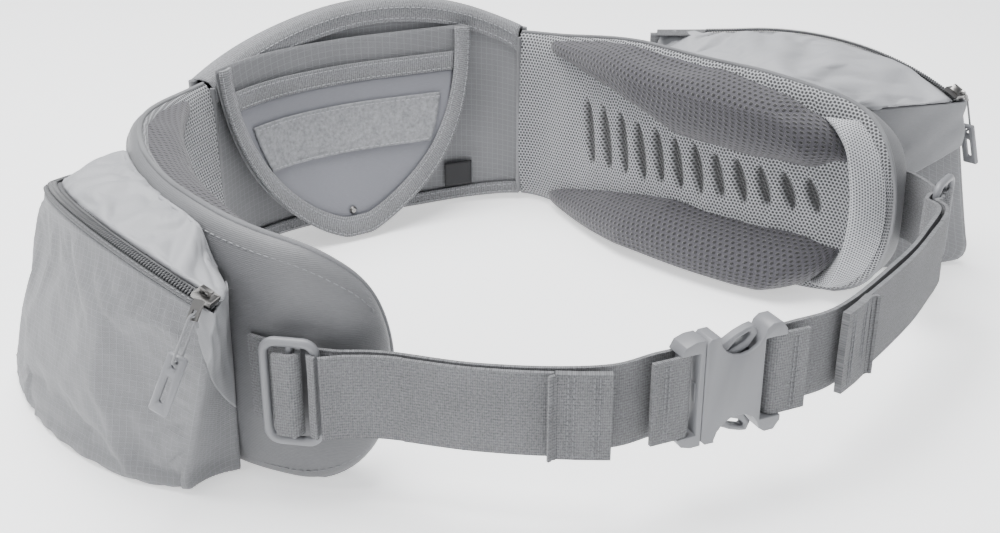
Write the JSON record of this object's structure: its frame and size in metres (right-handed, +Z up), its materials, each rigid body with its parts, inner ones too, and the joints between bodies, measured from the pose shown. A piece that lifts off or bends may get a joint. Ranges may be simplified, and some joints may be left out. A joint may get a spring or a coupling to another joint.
{
  "type": "waist pack",
  "caption": "Padded hip belt with zipped side pockets, a rear lumbar panel with an inner flap, ladder adjusters and a side-release buckle.",
  "frame": {"origin": "on the ground, under the middle of the object's box", "axes": "+Z up; +Y towards the lumbar panel, at the wearer's back; +X towards the pocket on the buckle socket's side; the buckle is at -Y"},
  "size_m": [0.517, 0.368, 0.1352],
  "materials": {
    "ripstop": "matte",
    "coated_fabric": "satin",
    "light_mesh": "matte",
    "pad_mesh": "matte",
    "foam": "matte",
    "frame_sheet": "matte",
    "webbing": "matte",
    "binding": "matte",
    "loop_pile": "matte",
    "label": "matte",
    "zip_coil": "satin",
    "moulded_plastic": "satin",
    "nickel": "satin",
    "pull_cord": "matte"
  },
  "bodies": {
    "belt": {"lumbar_inner_panel": "ripstop", "lumbar_foam": "foam", "lumbar_frame_sheet": "frame_sheet", "lumbar_outer_shell": "ripstop", "lumbar_top_binding": "binding", "lumbar_bottom_binding": "binding", "care_label": "label", "mesh_face_left": "light_mesh", "foam_core_left": "foam", "stiffener_left": "frame_sheet", "outer_shell_left": "coated_fabric", "upper_pad_left": "pad_mesh", "lower_pad_left": "pad_mesh", "tip_rim_left": "light_mesh", "anchor_webbing_left": "webbing", "pocket_shell_left": "ripstop", "zip_tape_left": "binding", "zip_coil_left": "zip_coil", "strap_left": "webbing", "tail_left": "webbing", "mesh_face_right": "light_mesh", "foam_core_right": "foam", "stiffener_right": "frame_sheet", "outer_shell_right": "coated_fabric", "upper_pad_right": "pad_mesh", "lower_pad_right": "pad_mesh", "tip_rim_right": "light_mesh", "anchor_webbing_right": "webbing", "pocket_shell_right": "ripstop", "zip_tape_right": "binding", "zip_coil_right": "zip_coil", "strap_right": "webbing", "tail_right": "webbing", "buckle_socket": "moulded_plastic"},
    "flap": {"flap_backing": "ripstop", "flap_pocket_panel": "coated_fabric", "flap_mouth_band": "binding", "flap_loop_patch": "loop_pile", "flap_binding": "binding", "flap_rivet": "nickel"},
    "zip_slider_left": {"zip_slider_left": "nickel"},
    "pocket_top_left": {"pocket_top_left": "coated_fabric"},
    "pull_left": {"pull_tab_left": "nickel", "pull_cord_left": "pull_cord", "pull_grip_left": "moulded_plastic"},
    "adjuster_left": {"adjuster_left": "moulded_plastic"},
    "tail_end_left": {"tail_end_left": "webbing"},
    "zip_slider_right": {"zip_slider_right": "nickel"},
    "pocket_top_right": {"pocket_top_right": "coated_fabric"},
    "pull_right": {"pull_tab_right": "nickel", "pull_cord_right": "pull_cord", "pull_grip_right": "moulded_plastic"},
    "adjuster_right": {"adjuster_right": "moulded_plastic"},
    "tail_end_right": {"tail_end_right": "webbing"},
    "plug": {"buckle_plug": "moulded_plastic"},
    "lever_upper": {"buckle_lever_upper": "moulded_plastic"},
    "lever_lower": {"buckle_lever_lower": "moulded_plastic"}
  },
  "joints": [
    {"name": "flap_lift", "type": "hinge", "parent": "belt", "child": "flap", "pos_m": [-0.1215, 0.13889, 0.116], "axis": [-0.9888, -0.149, 0], "range_deg": [0, 50]},
    {"name": "zip_run_left", "type": "hinge", "parent": "belt", "child": "zip_slider_left", "pos_m": [-0.12355, -0.00942, 0.0253], "axis": [-0.6216, -0.1044, -0.7763], "range_deg": [0, 57.19]},
    {"name": "pocket_gape_left", "type": "hinge", "parent": "belt", "child": "pocket_top_left", "pos_m": [-0.19718, -0.0043, 0.1109], "axis": [-0.0452, 0.9982, 0.0406], "range_deg": [0, 20]},
    {"name": "pull_swing_left", "type": "hinge", "parent": "zip_slider_left", "child": "pull_left", "pos_m": [-0.19941, -0.10475, 0.10363], "axis": [-0.5676, 0.743, 0.3545], "range_deg": [0, 75]},
    {"name": "adjuster_tilt_left", "type": "hinge", "parent": "belt", "child": "adjuster_left", "pos_m": [-0.16634, -0.10465, 0.053], "axis": [0, 0, 1], "range_deg": [-10, 10], "deforming": ["strap_left", "anchor_webbing_left", "tail_left"]},
    {"name": "tail_slide_left", "type": "slide", "parent": "belt", "child": "tail_end_left", "axis": [0.8278, -0.561, 0], "range_m": [-0.018, 0.003], "deforming": ["tail_left"]},
    {"name": "zip_run_right", "type": "hinge", "parent": "belt", "child": "zip_slider_right", "pos_m": [0.11442, -0.05368, 0.0664], "axis": [-0.2451, -0.4085, 0.8792], "range_deg": [0, 54.5]},
    {"name": "pocket_gape_right", "type": "hinge", "parent": "belt", "child": "pocket_top_right", "pos_m": [0.13393, 0.02644, 0.11311], "axis": [0.3657, -0.9258, -0.0956], "range_deg": [0, 20]},
    {"name": "pull_swing_right", "type": "hinge", "parent": "zip_slider_right", "child": "pull_right", "pos_m": [0.23637, -0.04973, 0.10734], "axis": [0.1571, -0.9116, -0.3798], "range_deg": [0, 75]},
    {"name": "adjuster_tilt_right", "type": "hinge", "parent": "belt", "child": "adjuster_right", "pos_m": [0.19266, -0.09065, 0.053], "axis": [0, 0, 1], "range_deg": [-10, 10], "deforming": ["strap_right", "anchor_webbing_right", "tail_right"]},
    {"name": "tail_slide_right", "type": "slide", "parent": "belt", "child": "tail_end_right", "axis": [-0.8747, -0.4847, 0], "range_m": [-0.018, 0.003], "deforming": ["tail_right"]},
    {"name": "buckle_release", "type": "slide", "parent": "belt", "child": "plug", "axis": [-0.9994, 0.0349, 0], "range_m": [0, 0.025], "deforming": ["strap_left"]},
    {"name": "lever_squeeze_upper", "type": "hinge", "parent": "plug", "child": "lever_upper", "pos_m": [-0.01683, -0.1772, 0.064], "axis": [0.0349, 0.9994, 0], "range_deg": [0, 17.4]},
    {"name": "lever_squeeze_lower", "type": "hinge", "parent": "plug", "child": "lever_lower", "pos_m": [-0.01683, -0.1772, 0.042], "axis": [-0.0349, -0.9994, 0], "range_deg": [0, 17.4]}
  ],
  "couplings": [
    {"joint": "pocket_gape_left", "follows": "zip_run_left", "ratio": 0.3235},
    {"joint": "pocket_gape_right", "follows": "zip_run_right", "ratio": 0.3394},
    {"joint": "lever_squeeze_upper", "follows": "buckle_release", "rad_per_m": 12},
    {"joint": "lever_squeeze_lower", "follows": "buckle_release", "rad_per_m": 12}
  ]
}
